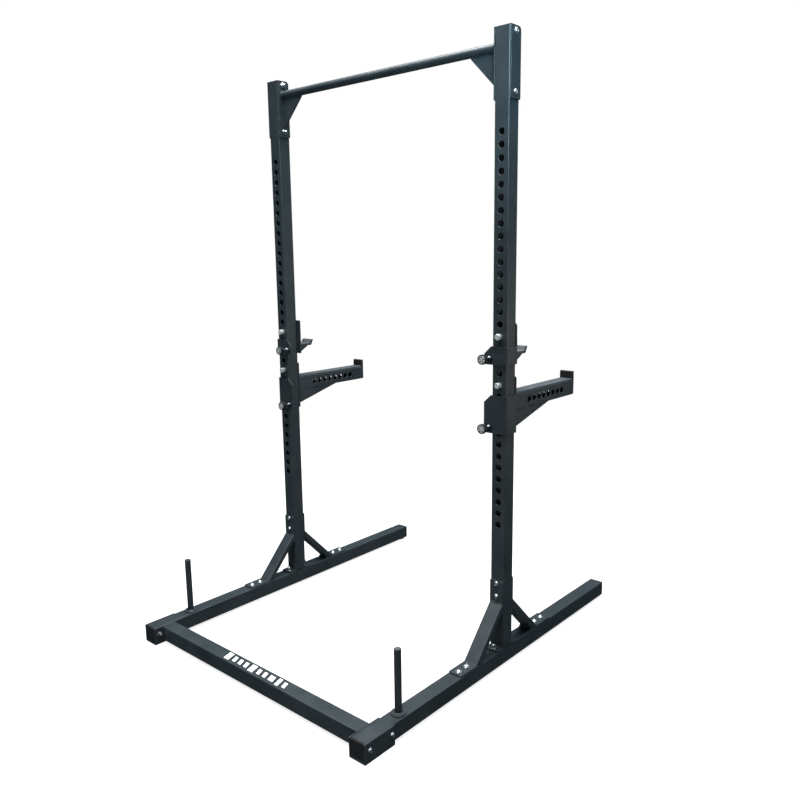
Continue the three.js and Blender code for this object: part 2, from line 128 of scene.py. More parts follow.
COAT_LOW, COAT_HIGH = (0.0085, 0.0130, 0.0150), (0.0145, 0.0200, 0.0230)
coat = material("powder_coat", COAT_HIGH, 0.42)
shade(coat, "Base Color", noise(coat, 7, 4), COAT_LOW, COAT_HIGH)
shade(coat, "Roughness", noise(coat, 16, 5), 0.36, 0.5)
bump(coat, noise(coat, 520, 2), 0.00012, 0.35)  # orange peel
bump(coat, noise(coat, 9, 2), 0.0004, 0.12)  # the sheet's slow waves

zinc = material("bright_zinc", (0.62, 0.63, 0.64), 0.28, 1.0)
shade(zinc, "Base Color", noise(zinc, 180, 3), (0.50, 0.51, 0.52), (0.70, 0.71, 0.72))
shade(zinc, "Roughness", noise(zinc, 260, 4), 0.2, 0.38)
bump(zinc, noise(zinc, 900, 2), 0.00004, 0.3)

dark_zinc = material("dark_zinc", (0.24, 0.27, 0.30), 0.3, 1.0)
shade(dark_zinc, "Base Color", noise(dark_zinc, 180, 3), (0.20, 0.23, 0.26), (0.29, 0.32, 0.36))
shade(dark_zinc, "Roughness", noise(dark_zinc, 260, 4), 0.26, 0.4)

chrome = material("chrome", (0.80, 0.81, 0.82), 0.1, 1.0)
shade(chrome, "Roughness", noise(chrome, 60, 5, stretch=(1, 6, 1)), 0.06, 0.16)
shade(chrome, "Base Color", noise(chrome, 30, 3), (0.72, 0.73, 0.75), (0.84, 0.85, 0.86))

satin = material("satin_steel", (0.50, 0.51, 0.52), 0.3, 0.55)
shade(satin, "Base Color", noise(satin, 90, 4), (0.44, 0.45, 0.46), (0.56, 0.57, 0.58))
shade(satin, "Roughness", noise(satin, 200, 4), 0.26, 0.4)
bump(satin, noise(satin, 700, 2), 0.00004, 0.3)

plastic = material("black_plastic", (0.008, 0.008, 0.009), 0.55, specular=0.2)
shade(plastic, "Base Color", noise(plastic, 40, 3), (0.006, 0.006, 0.007), (0.011, 0.011, 0.012))
shade(plastic, "Roughness", noise(plastic, 90, 4), 0.42, 0.6)
bump(plastic, noise(plastic, 1500, 2), 0.00006, 0.4)

liner = material("grey_liner", (0.045, 0.052, 0.057), 0.42)
shade(liner, "Base Color", noise(liner, 60, 5), (0.028, 0.033, 0.037), (0.046, 0.053, 0.058))
shade(liner, "Roughness", noise(liner, 120, 4), 0.36, 0.55)
bump(liner, noise(liner, 300, 4, stretch=(1, 0.15, 1)), 0.00008, 0.35)

rubber = material("black_rubber", (0.012, 0.012, 0.012), 0.8)
shade(rubber, "Base Color", noise(rubber, 150, 4), (0.009, 0.009, 0.009), (0.02, 0.02, 0.02))
bump(rubber, noise(rubber, 700, 3), 0.0001, 0.5)

ink = material("white_print", (0.78, 0.78, 0.78), 0.55)
shade(ink, "Base Color", noise(ink, 120, 5), (0.66, 0.66, 0.66), (0.82, 0.82, 0.82))


# ---- Mesh tools ----------------------------------------------------------------------
class Piece:
    """Closed shapes gathered in mm, made into one object that rides on a body."""

    def __init__(self, name, body, slot, mat, replaces=(), offset=(0, 0, 0)):
        self.name, self.body, self.slot, self.mat = name, body, slot, mat
        self.replaces, self.offset = replaces, Vector(offset)
        self.shapes = bmesh.new()

    def add(self, shape):
        mesh = bpy.data.meshes.new("shape")
        shape.to_mesh(mesh)
        shape.free()
        self.shapes.from_mesh(mesh)
        bpy.data.meshes.remove(mesh)
        return self

    def make(self, angle=38):
        self.shapes.transform(Matrix.Scale(1 / MM, 4) @ Matrix.Translation(self.offset))
        bmesh.ops.recalc_face_normals(self.shapes, faces=self.shapes.faces)
        mesh = bpy.data.meshes.new(self.name)
        self.shapes.to_mesh(mesh)
        self.shapes.free()
        mesh.polygons.foreach_set("use_smooth", [True] * len(mesh.polygons))
        mesh.set_sharp_from_angle(angle=math.radians(angle))
        mesh.materials.append(self.mat)
        obj = bpy.data.objects.new(self.name, mesh)
        scene.collection.objects.link(obj)
        even = obj.modifiers.new("even_normals", "WEIGHTED_NORMAL")
        even.keep_sharp = True
        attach(obj, self.body)
        if self.replaces:
            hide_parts(*self.replaces)


PLANES = {"x": (1, 2, 0), "y": (0, 2, 1), "z": (0, 1, 2)}
SHARP = math.radians(22)


def round_over(shape, edges, width, segments):
    bmesh.ops.bevel(shape, geom=edges, offset=width, segments=segments, profile=0.5,
                    affect="EDGES", clamp_overlap=True)


def in_x_plane(edge):
    return abs(edge.verts[0].co.x - edge.verts[1].co.x) < 1e-3


def join_rings(shape, one, two):
    """A band of faces between two closed rings of as many points."""
    for k in range(len(one)):
        j = (k + 1) % len(one)
        shape.faces.new((one[k], one[j], two[j], two[k]))


def prism(outline, low, high, axis, edge=0.8, segments=2):
    """Outline across an axis, run from low to high, with its edges rounded over."""
    shape = bmesh.new()
    u, v, w = PLANES[axis]
    rings = []
    for level in sorted((low, high)):
        ring = []
        for point in outline:
            spot = [0, 0, 0]
            spot[u], spot[v], spot[w] = point[0], point[1], level
            ring.append(shape.verts.new(spot))
        rings.append(ring)
    shape.faces.new(rings[0])
    shape.faces.new(rings[1])
    join_rings(shape, *rings)
    bmesh.ops.recalc_face_normals(shape, faces=shape.faces)
    if edge:
        sharp = [e for e in shape.edges if e.calc_face_angle(0) > SHARP]
        round_over(shape, sharp, edge, segments)
    return shape


def circle(centre, radius, count):
    angles = [2 * math.pi * k / count for k in range(count)]
    return [(centre[0] + radius * math.cos(a), centre[1] + radius * math.sin(a)) for a in angles]


def pierced(outline, centre, radius, low, high, edge, segments):
    """A plate across y with one round hole in it; only its outer edges are rounded over."""
    shape = bmesh.new()
    ring_points = circle(centre, radius, 32)
    levels = []
    for level in (low, high):
        loops = [[shape.verts.new((x, level, z)) for x, z in points]
                 for points in (outline, ring_points)]
        rims = [shape.edges.new((loop[i - 1], loop[i]))
                for loop in loops for i in range(len(loop))]
        bmesh.ops.triangle_fill(shape, use_beauty=True, use_dissolve=False, edges=rims)
        levels.append(loops)
    for near, far in zip(*levels):
        for i in range(len(near)):
            shape.faces.new((near[i - 1], near[i], far[i], far[i - 1]))
    bmesh.ops.recalc_face_normals(shape, faces=shape.faces)
    around = lambda v: math.hypot(v.co.x - centre[0], v.co.z - centre[1]) < radius + 0.01
    outer = [e for e in shape.edges
             if e.calc_face_angle(0) > SHARP and not all(around(v) for v in e.verts)]
    round_over(shape, outer, edge, segments)
    return shape


def rounded(points, radius):
    """The outline with arcs for corners; radius is one value or one for each corner."""
    steps = 5
    out = []
    for i, point in enumerate(points):
        r = radius[i] if isinstance(radius, (list, tuple)) else radius
        here = Vector(point)
        if r <= 0:
            out.append(tuple(here))
            continue
        back = (Vector(points[i - 1]) - here).normalized()
        ahead = (Vector(points[(i + 1) % len(points)]) - here).normalized()
        half = back.angle(ahead) / 2
        centre = here + (back + ahead).normalized() * (r / math.sin(half))
        start = here + back * (r / math.tan(half)) - centre
        end = here + ahead * (r / math.tan(half)) - centre
        first = math.atan2(start.y, start.x)
        sweep = (math.atan2(end.y, end.x) - first + math.pi) % (2 * math.pi) - math.pi
        for k in range(steps + 1):
            a = first + sweep * k / steps
            out.append((centre.x + r * math.cos(a), centre.y + r * math.sin(a)))
    return out


def rect(x, y):
    return [(x[0], y[0]), (x[1], y[0]), (x[1], y[1]), (x[0], y[1])]


def slab(x, y, z, edge=0.8, segments=2):
    x, y, z = sorted(x), sorted(y), sorted(z)
    return prism(rect(x, y), z[0], z[1], "z", edge, segments)


def lathe(profile, place, sides=32):
    """(radius, height) pairs turned round an axis.

    A third value of 6 makes that ring a hexagon, whose corners a fourth value may cut back.
    """
    shape = bmesh.new()
    rings = []
    for item in profile:
        radius, height = item[0], item[1]
        if radius == 0:
            rings.append([shape.verts.new(place(0, 0, height))])
            continue
        ring = []
        for k in range(sides):
            a = 2 * math.pi * k / sides
            reach = radius
            if len(item) > 2:
                hexed = radius / math.cos((a % (math.pi / 3)) - math.pi / 6)
                reach = min(hexed, item[3]) if len(item) > 3 else hexed
            ring.append(shape.verts.new(place(reach * math.cos(a), reach * math.sin(a), height)))
        rings.append(ring)
    for one, two in zip(rings, rings[1:]):
        for k in range(sides):
            j = (k + 1) % sides
            a = (one[k], one[j]) if len(one) > 1 else (one[0],)
            b = (two[j], two[k]) if len(two) > 1 else (two[0],)
            if len(a) + len(b) > 2:
                shape.faces.new(a + b)
    bmesh.ops.recalc_face_normals(shape, faces=shape.faces)
    return shape


def along(axis, origin, sign=1):
    """Places a turned shape: its height runs from the origin along the axis."""
    o = Vector(origin)
    if axis == "x":
        return lambda a, b, h: o + Vector((sign * h, a, b))
    if axis == "y":
        return lambda a, b, h: o + Vector((a, sign * h, b))
    return lambda a, b, h: o + Vector((a, b, sign * h))


BEAD_STEP, BEAD_SIDES, BEAD_END = 1.7, 8, 0.6


def bead(path, radius):
    """A painted weld bead: a rippled cord laid along a path."""
    sides = BEAD_SIDES
    points = [Vector(p) for p in path]
    spots = []
    for a, b in zip(points, points[1:]):
        count = max(2, round((b - a).length / BEAD_STEP))
        spots += [a.lerp(b, k / count) for k in range(count)]
    spots.append(points[-1])
    shape = bmesh.new()
    rings = []
    for i, spot in enumerate(spots):
        ahead = spots[min(i + 1, len(spots) - 1)] - spots[max(i - 1, 0)]
        ahead.normalize()
        side = ahead.orthogonal().normalized()
        other = ahead.cross(side)
        ripple, drift = 0.10 * math.sin(i * 1.9), 0.05 * math.sin(i * 0.37)
        swell = radius * (1 + ripple + drift)
        if i in (0, len(spots) - 1):
            swell *= BEAD_END
        rings.append([shape.verts.new(spot + swell * (
            side * math.cos(2 * math.pi * k / sides) + other * math.sin(2 * math.pi * k / sides)))
            for k in range(sides)])
    for one, two in zip(rings, rings[1:]):
        join_rings(shape, one, two)
    shape.faces.new(rings[0])
    shape.faces.new(rings[-1])
    bmesh.ops.recalc_face_normals(shape, faces=shape.faces)
    return shape


HOLE_CHAMFER = 0.5


def tube(place, half, corner, wall, span, holes=(), hole=0.0, cell=0.0):
    """Square tube with rounded corners along t; round holes go through its two faces across a.

    Round each hole's middle, a square cell reaching as far as `cell` is cut from the face's grid
    and filled by rings that run from its four edges to the round rim.
    """
    n, arc = 8, 4  # steps along each flat, so a hole has 4n sides, and round each corner
    stations = [span[0]]
    for middle in holes:
        for i in range(n + 1):
            t = middle - cell + 2 * cell * i / n
            if t > stations[-1] + 1e-6:
                stations.append(t)
    if span[1] > stations[-1] + 1e-6:
        stations.append(span[1])

    def section(size, r):
        flat = size - r
        turn = [(math.sin(math.pi / 2 * k / arc), math.cos(math.pi / 2 * k / arc))
                for k in range(1, arc)]
        ring = []
        quarter = [(1, 0), (0, 1), (-1, 0), (0, -1)]
        for ca, cb in quarter:
            for i in range(n + 1):
                b = -flat + 2 * flat * i / n
                ring.append((ca * size - cb * b, cb * size + ca * b))
            for s, c in turn:
                a, b = flat + r * c, flat + r * s
                ring.append((ca * a - cb * b, cb * a + ca * b))
        return ring

    shape = bmesh.new()
    shells = []
    for size, r in ((half, corner), (half - wall, max(corner - wall, 0.6))):
        ring = section(size, r)
        count = len(ring)
        grid = [[shape.verts.new(place(a, b, t)) for a, b in ring] for t in stations]
        skip = set()
        rims = []
        for middle in holes:
            low = min(range(len(stations)), key=lambda j: abs(stations[j] - middle + cell))
            for sign, start in ((1, 0), (-1, 2 * (n + arc))):
                low_row = [grid[low][start + i] for i in range(n + 1)]
                high_row = [grid[low + n][start + i] for i in range(n + 1)]
                left = [grid[low + j][start] for j in range(n + 1)]
                right = [grid[low + j][start + n] for j in range(n + 1)]
                edge = low_row[:-1] + right[:-1] + high_row[::-1][:-1] + left[::-1][:-1]
                skip |= {(low + j, start + i) for i in range(n) for j in range(n)}
                # The outer shell's holes have a small chamfer, the inner shell's have none.
                levels = [(size, hole)]
                if size == half:
                    levels = [(size, hole + HOLE_CHAMFER), (size - HOLE_CHAMFER, hole)]
                loops = []
                for level, radius in levels:
                    loop = []
                    for k in range(4 * n):  # from the cell's lower left corner
                        a = math.radians(-135) + 2 * math.pi * k / (4 * n)
                        b_at = radius * math.cos(a) * sign
                        loop.append(shape.verts.new(
                            place(sign * level, b_at, middle + radius * math.sin(a))))
                    loops.append(loop)
                previous = edge
                for loop in loops:
                    join_rings(shape, previous, loop)
                    previous = loop
                rims.append(previous)
        for j in range(len(stations) - 1):
            for i in range(count):
                if (j, i) not in skip:
                    k = (i + 1) % count
                    shape.faces.new((grid[j][i], grid[j][k], grid[j + 1][k], grid[j + 1][i]))
        shells.append((grid, rims))
    (outer, rims_out), (inner, rims_in) = shells
    for one, two in zip(rims_out, rims_in):
        join_rings(shape, one, two)
    for row in (0, -1):
        join_rings(shape, outer[row], inner[row])
    bmesh.ops.recalc_face_normals(shape, faces=shape.faces)
    return shape


def bend(centre, inner, outer, first, last, low, high):
    """A folded plate's corner, standing along z: an arc between two radii."""
    steps = 6
    arcs = []
    for radius, order in ((outer, range(steps + 1)), (inner, range(steps, -1, -1))):
        for k in order:
            a = math.radians(first + (last - first) * k / steps)
            arcs.append((centre[0] + radius * math.cos(a), centre[1] + radius * math.sin(a)))
    return prism(arcs, low, high, "z", 0.6, 2)


# ---- Fasteners -----------------------------------------------------------------------
# Each starts at its own seat and grows along its place's height.
WASHER = 1.4  # thickness
HEAD_R, HEAD_H = 9.6, 4.9
SOCKET = 3.5
NUT = (8.6, 8.2, 5.6)  # half across flats, height, radius of the bolt in it
NUT_TAIL = 3.6
THREAD_PITCH, THREAD_DEPTH = 0.9, 0.55
HEX_CUT = 0.93  # how far a chamfer cuts the corners of a hexagon back
FACE_GAP = 0.1  # keeps touching faces from flickering


def hex_corner(flats):
    return HEX_CUT * flats / math.cos(math.pi / 6)


def button_head(place, height=HEAD_H):
    rim = 1.0
    dome = [(HEAD_R * math.cos(a), rim + (height - rim) * math.sin(a))
            for a in (math.radians(d) for d in (0, 14, 28, 42, 56, 66))]
    top = dome[-1][1]
    return lathe([(0, 0), (HEAD_R * 0.96, 0), *dome, (SOCKET + 0.4, top + 0.25, 6),
                  (SOCKET, top - 0.2, 6), (SOCKET, top - 3.0, 6), (0, top - 3.4)], place, 36)


def washer(place, radius=12.0):
    return lathe([(0, 0), (radius - 0.3, 0), (radius, 0.3), (radius, WASHER - 0.4),
                  (radius - 0.5, WASHER), (0, WASHER)], place, 40)


def hex_nut(place, flats, height, bolt, tail):
    """A nut with the threaded end of its bolt standing out by the tail."""
    corner = hex_corner(flats)
    h = height - 0.6
    rings = [(0, 0), (flats, 0, 6, corner), (flats, 1.0, 6), (flats, height - 1.0, 6),
             (flats, height, 6, corner), (bolt + 0.5, height), (bolt, h)]
    while h < height + tail - 1.0:
        rings += [(bolt, h + THREAD_PITCH / 2), (bolt - THREAD_DEPTH, h + THREAD_PITCH)]
        h += THREAD_PITCH
    rings += [(bolt - 1.0, height + tail), (0, height + tail)]
    return lathe(rings, place, 36)


def cross_bolt(name, node, s, outside, inside, y, z, nut=True):
    """A bolt along x through one side of the rack, its head outboard."""
    bolt = Piece(name, "rack", "bright_zinc", zinc, [node])
    bolt.add(washer(along("x", (s * (outside + FACE_GAP), y, z), s)))
    bolt.add(button_head(along("x", (s * (outside + WASHER), y, z), s)))
    if nut:
        bolt.add(washer(along("x", (s * (inside - FACE_GAP), y, z), -s)))
        bolt.add(hex_nut(along("x", (s * (inside - WASHER), y, z), -s), *NUT, NUT_TAIL))
    bolt.make()


# ---- Base ----------------------------------------------------------------------------
SIDES = (("left", -1), ("right", 1))
cross_low, cross_high = box("crossmember")
upright_low, upright_high = box("upright_right")
runner_low, runner_high = box("runner_right")
SIDE = (runner_low.x + runner_high.x) / 2
HALF = (runner_high.x - runner_low.x) / 2
FLOOR_GAP = runner_low.z
TOP = runner_high.z
MID = (FLOOR_GAP + TOP) / 2
FRONT = cross_low.y
CHEEK = 5.0  # side plates of the brackets
SOLE = 10.0
WALL = 3
TUBE_R = 3.6  # outer corner of the square tubes
HOLE_R = 12.0
# Radii of the weld beads, from the thickest plates to the thinnest.
WELD, WELD_UNDER, WELD_PLATE, WELD_WEB = 2.6, 2.4, 2.2, 2.0
bracket_out = cross_high.x
bracket_in = 2 * SIDE - bracket_out
bolt_spots = {i: sum(box(f"base_bolt_right_{i}")[k].y for k in (0, 1)) / 2 for i in (1, 2)}
BEAM_SETBACK = 37  # from the brackets' front edge to the cross tube's front face
cross_y = FRONT + BEAM_SETBACK + HALF
beam = (cross_y - HALF, cross_y + HALF)

cross = Piece("crossmember_weldment", "rack", "charcoal_paint", coat, ["crossmember"])
cross.add(tube(lambda a, b, t: Vector((t, cross_y + b, MID + a)), HALF, TUBE_R, WALL,
               (-bracket_in + 0.5, bracket_in - 0.5)))
bracket_y = (FRONT, cross_high.y)
for _, s in SIDES:
    for face in (bracket_in, bracket_out - CHEEK):
        outline = rounded(rect(bracket_y, (0, TOP)), [2, 2, 5, 3])
        cross.add(prism(outline, s * face, s * (face + CHEEK), "x", 0.5, 2))
    cross.add(slab((s * (bracket_in + 1), s * (bracket_out - 1)), bracket_y, (0, SOLE), 1.2, 3))
    seam = s * (bracket_in - 0.3)
    for y in beam:
        cross.add(bead([(seam, y, FLOOR_GAP + 4), (seam, y, TOP - 4)], WELD))
    cross.add(bead([(seam, beam[0] + 4, FLOOR_GAP), (seam, beam[1] - 4, FLOOR_GAP)], WELD))
    for inside in (bracket_in + CHEEK, bracket_out - CHEEK):
        cross.add(bead([(s * inside, FRONT + 3, 3), (s * inside, FRONT + 3, SOLE - 1)], 1.2))
cross.make()

RUNNER_R = TUBE_R - 1.2
CAP_R = 2.6
CAP_PLATE = 6
for label, s in SIDES:
    centre = s * SIDE
    runner = Piece(f"runner_tube_{label}", "rack", "charcoal_paint", coat, [f"runner_{label}"])
    runner.add(tube(lambda a, b, t: Vector((centre + b, t, MID + a)), HALF, RUNNER_R, WALL,
                    (runner_low.y, runner_high.y)))
    runner.make()

    low, high = box(f"runner_front_cap_{label}")
    nose = Piece(f"front_cap_{label}", "rack", "black_plastic", plastic,
                 [f"runner_front_cap_{label}"])
    face = rounded(rect((centre - HALF, centre + HALF), (FLOOR_GAP, TOP)), CAP_R)

    def plug(inset, depth, edge):
        """The part of a cap inside its runner, the inset away from the cap's own outline."""
        return slab((centre - HALF + inset, centre + HALF - inset), depth,
                    (FLOOR_GAP + inset, TOP - inset), edge)

    nose.add(prism(face, low.y, low.y + CAP_PLATE, "y", 1.6, 4))
    nose.add(plug(4, (low.y + CAP_PLATE - 1, high.y), 1.0))
    nose.make()

    low, high = box(f"runner_rear_cap_{label}")
    tail = Piece(f"rear_cap_{label}", "rack", "black_plastic", plastic,
                 [f"runner_rear_cap_{label}"])
    tail.add(prism(face, high.y - 10, high.y, "y", 2.6, 5))
    for rib in (low.y + 3 + 6 * k for k in range(3)):
        tail.add(plug(WALL + 0.2, (rib, rib + 2), 0.6))
    tail.add(plug(6, (low.y, high.y - 8), 0.8))
    tail.make()

    low, high = box(f"rear_foot_{label}")
    radius = (high.x - low.x) / 2
    foot = Piece(f"foot_pad_{label}", "rack", "black_rubber", rubber, [f"rear_foot_{label}"])
    foot.add(lathe([(0, 0), (radius - 4, 0), (radius - 1.2, 0.5), (radius, 2), (radius, 6.5),
                    (radius - 0.9, 7.2), (radius, 8), (radius - 0.5, 9.6), (radius - 1.2, high.z),
                    (0, high.z)], along("z", (centre, (low.y + high.y) / 2, 0)), 48))
    foot.make()

    low, high = box(f"band_peg_{label}")
    spot = ((low.x + high.x) / 2, (low.y + high.y) / 2, low.z)
    reach, flange, post = high.z - low.z, (high.x - low.x) / 2, 12.5
    peg = Piece(f"band_post_{label}", "rack", "charcoal_paint", coat, [f"band_peg_{label}"])
    peg.add(lathe([(0, 0), (flange - 0.6, 0), (flange, 0.6), (flange, 3.9), (flange - 1.1, 5),
                   (16.2, 5), (14.4, 5.6), (13.2, 6.8), (post, 8.8), (post, reach - 3.2),
                   (12.1, reach - 1.7), (11.2, reach - 0.5), (9.8, reach - 0.1), (0, reach - 0.1)],
                  along("z", spot), 48))
    peg.make(30)
    disc = Piece(f"post_plug_{label}", "rack", "grey_liner", liner)
    disc.add(lathe([(0, 0), (9.6, 0), (9.6, 0.5), (8.6, 0.9), (5, 1.0), (0, 1.0)],
                   along("z", (spot[0], spot[1], high.z - 0.8)), 40))
    disc.make()

    # The rear bolt's nut is inside the runner, so only the front one shows.
    for i, y in bolt_spots.items():
        cross_bolt(f"base_bolt_set_{label}_{i}", f"base_bolt_{label}_{i}", s, bracket_out,
                   bracket_in, y, MID, nut=i == 1)


# ---- Uprights ------------------------------------------------------------------------
UP_FRONT = box("top_bracket_right")[0].y - 0.3
UP_BACK = UP_FRONT + 2 * HALF
UP_MID = (UP_FRONT + UP_BACK) / 2
PITCH = 44.0
FIRST_HOLE, HOLE_COUNT = 495, 33  # height over the runner, and how many
HOLES = [TOP + FIRST_HOLE + PITCH * i for i in range(HOLE_COUNT)]
POST_R = TUBE_R + 0.5
PLATE = 6
foot_top = upright_low.z + PLATE
for label, s in SIDES:
    centre = s * SIDE
    post = Piece(f"upright_tube_{label}", "rack", "charcoal_paint", coat, [f"upright_{label}"])
    post.add(tube(lambda a, b, t: Vector((centre + b, UP_MID + a, t)), HALF, POST_R, WALL,
                  (upright_low.z + 1, upright_high.z), HOLES, HOLE_R, PITCH / 2))
    plate = rounded(rect((centre - HALF, centre + HALF), (upright_low.y, upright_high.y)), 4)
    post.add(prism(plate, upright_low.z, foot_top, "z", 1.0, 3))
    for y in (UP_FRONT, UP_BACK):
        post.add(bead([(x, y, foot_top + 0.4) for x in (centre - HALF + 3, centre + HALF - 3)],
                      WELD))
    post.make()

    # Studs that bolt each upright's foot plate down to its runner.
    bolts = Piece(f"foot_bolts_{label}", "rack", "bright_zinc", zinc)
    for y in (UP_FRONT - 20, UP_BACK + 20):
        bolts.add(washer(along("z", (centre, y, foot_top)), 11))
        bolts.add(hex_nut(along("z", (centre, y, foot_top + WASHER)),
                          flats=9.5, height=10, bolt=6, tail=5))
    bolts.make()


# ---- Braces --------------------------------------------------------------------------
PLATE_OUT = PLATE + 0.3  # outer face of the plate that lies on the upright
BRACE_TOP = 187
BRACE_DEPTH = 25
UP_PLATE = (146, 276)  # span of that plate above the runner
SUNK = 0.8  # how far the strip's end goes into the plates


def brace(name, centre, face, away, run, foot_end, node):
    """A box strut between two bolted plates; its outer face meets the lower one at the run."""
    half = HALF - 1
    y = lambda distance: face + away * distance
    z = lambda height: TOP + height
    slope = math.atan2(BRACE_TOP - PLATE, run - PLATE_OUT)
    across = (centre - half, centre + half)
    drop = BRACE_DEPTH / math.cos(slope)
    back = BRACE_DEPTH / math.sin(slope)
    rise = math.tan(slope)
    part = Piece(name, "rack", "charcoal_paint", coat, [node])
    head, toe_in = BRACE_TOP + SUNK * rise, run + 0.6 / rise
    strip = [(y(PLATE_OUT - SUNK), z(head)), (y(toe_in), z(PLATE - 0.6)),
             (y(toe_in - back), z(PLATE - 0.6)), (y(PLATE_OUT - SUNK), z(head - drop))]
    shape = prism(strip, across[0], across[1], "x", 0, 1)
    rims = [e for e in shape.edges if in_x_plane(e) and e.calc_length() > 120]
    round_over(shape, rims, 4.5, 5)
    part.add(shape)
    upper = rounded(rect(across, (z(UP_PLATE[0]), z(UP_PLATE[1]))), [3, 3, 6, 6])
    part.add(prism(upper, y(PLATE_OUT - PLATE), y(PLATE_OUT), "y", 1.0, 3))
    lower = rounded(rect(across, sorted((y(run - back - 10), y(foot_end)))), 6)
    part.add(prism(lower, z(0.3), z(PLATE), "z", 1.0, 3))
    top, toe = (y(PLATE_OUT + 0.3), z(BRACE_TOP + 0.4)), (y(run + 0.5), z(PLATE + 0.2))
    under, heel = (y(PLATE_OUT + 0.3), z(BRACE_TOP - drop)), (y(run - back), z(PLATE + 0.2))
    inset = 5
    for spot, radius in ((top, WELD), (toe, WELD), (under, WELD_UNDER), (heel, WELD_UNDER)):
        part.add(bead([(across[0] + inset, *spot), (across[1] - inset, *spot)], radius))
    part.make()
    return y, z


for label, s in SIDES:
    centre = s * SIDE
    # Node, upright's face, direction, run, far end of the foot, places of the foot's bolts.
    for node, face, away, run, end, places in (
            (f"front_brace_{label}", UP_FRONT, -1, 172, 266, (197, 243)),
            (f"rear_brace_{label}", UP_BACK, 1, 185, 285, (214, 261))):
        y, z = brace(f"{node}_weldment", centre, face, away, run, end, node)
        feet = Piece(f"{node}_foot_bolts", "rack", "bright_zinc", zinc)
        for distance in places:
            spot = (centre, y(distance))
            feet.add(washer(along("z", (*spot, z(PLATE)))))
            feet.add(button_head(along("z", (*spot, z(PLATE + WASHER))), height=5.6))
        feet.make()
    for i in (1, 2):
        low, high = box(f"brace_bolt_{label}_{i}")
        level = (low.z + high.z) / 2
        bolt = Piece(f"brace_bolt_set_{label}_{i}", "rack", "bright_zinc", zinc,
                     [f"brace_bolt_{label}_{i}"])
        seat = PLATE_OUT + FACE_GAP
        bolt.add(washer(along("y", (centre, UP_FRONT - seat, level), -1)))
        bolt.add(button_head(along("y", (centre, UP_FRONT - seat - WASHER, level), -1),
                             height=5.0))
        bolt.add(washer(along("y", (centre, UP_BACK + seat, level))))
        bolt.add(hex_nut(along("y", (centre, UP_BACK + seat + WASHER, level)), *NUT, 3.4))
        bolt.make()


# ---- Pull-up bar and its brackets ----------------------------------------------------
bar_low, bar_high = box("pull_up_bar")
BAR_Z, BAR_R = (bar_low.z + bar_high.z) / 2, (bar_high.z - bar_low.z) / 2
span = bar_high.x - bar_low.x
bar = Piece("pull_up_tube", "rack", "charcoal_paint", coat, ["pull_up_bar"])
bar.add(lathe([(0, 0), (BAR_R - 2, 0), (BAR_R, 0.2), (BAR_R, span - 0.2), (BAR_R - 2, span),
               (0, span)], along("x", (bar_low.x, UP_MID, BAR_Z)), 64))
bar.make()

WEB_REACH, WEB_DROP, WEB_HALF = 115, 118, 4  # the gusset under the bar
BOLT_DROPS = (18, 212)  # from the bracket's crown
for label, s in SIDES:
    low, high = box(f"top_bracket_{label}")
    crown, base = high.z, low.z
    outer = max(abs(low.x), abs(high.x))
    inner = 2 * SIDE - outer
    lead, trail = low.y, high.y
    part = Piece(f"bar_bracket_{label}", "rack", "charcoal_paint", coat, [f"top_bracket_{label}"])
    side_view = rounded([(lead, base), (trail, base), (trail, crown - 0.4), (lead, crown - 0.4)],
                        [5, 5, 14, 2])
    for face in (inner, outer - CHEEK):
        part.add(prism(side_view, s * face, s * (face + CHEEK), "x", 1.0, 3))
    lid = rounded([(s * inner, crown - CHEEK), (s * outer, crown - CHEEK), (s * outer, crown),
                   (s * inner, crown)], [0, 0, 3.5, 3.5])
    part.add(prism(lid, lead, trail - 13, "y", 0.5, 2))
    under = BAR_Z - BAR_R - 0.3
    web = rounded([(s * (inner + 1), under), (s * (inner - WEB_REACH), under),
                   (s * (inner - WEB_REACH), under - 4), (s * (inner - 4), under - WEB_DROP),
                   (s * (inner + 1), under - WEB_DROP)], [0, 1.5, 4, 4, 0])
    part.add(prism(web, UP_MID - WEB_HALF, UP_MID + WEB_HALF, "y", 1.0, 3))
    for y in (UP_MID - WEB_HALF, UP_MID + WEB_HALF):
        upright_seam, bar_seam = s * (inner - 0.2), under - 0.2
        part.add(bead([(upright_seam, y, under - 10), (upright_seam, y, under - WEB_DROP + 6)],
                      WELD_PLATE))
        part.add(bead([(s * (inner - 12), y, bar_seam),
                       (s * (inner - WEB_REACH + 7), y, bar_seam)], WELD_WEB))
    ring = [(s * (inner - 0.6), UP_MID + BAR_R * math.cos(a), BAR_Z + BAR_R * math.sin(a))
            for a in (2 * math.pi * k / 40 for k in range(41))]
    part.add(bead(ring, WELD_UNDER))
    part.make()
    for i, drop in enumerate(BOLT_DROPS, 1):
        cross_bolt(f"top_bolt_set_{label}_{i}", f"top_bolt_{label}_{i}", s, outer, inner, UP_MID,
                   crown - drop)


# ---- Sleeves shared by the hooks and the arms ------------------------------------------
# Local frame: the stud's axis at the upright's front face; s turns outboard into +x.
IN = HALF + 1.0
OUT = IN + CHEEK
BACK_FROM = 2 * HALF + 1.0
BACK_TO = BACK_FROM + 6.0
PIN_X = HALF + 7.5  # the pin's distance from the stud's axis, inboard
PIN_RISE = 23.0  # and its height over the sleeve's bottom
PIN_HOLE = 6.7
FLANGE_IN, FLANGE_OUT = -1.0, -6.0
FLANGE_REACH, FLANGE_CUT = 32, (30, 28)  # past the upright, and its cut upper corner
BEND_IN, BEND_OUT = 3.0, 8.0


def mirror(points, s):
    return [(s * x, y) for x, y in points]


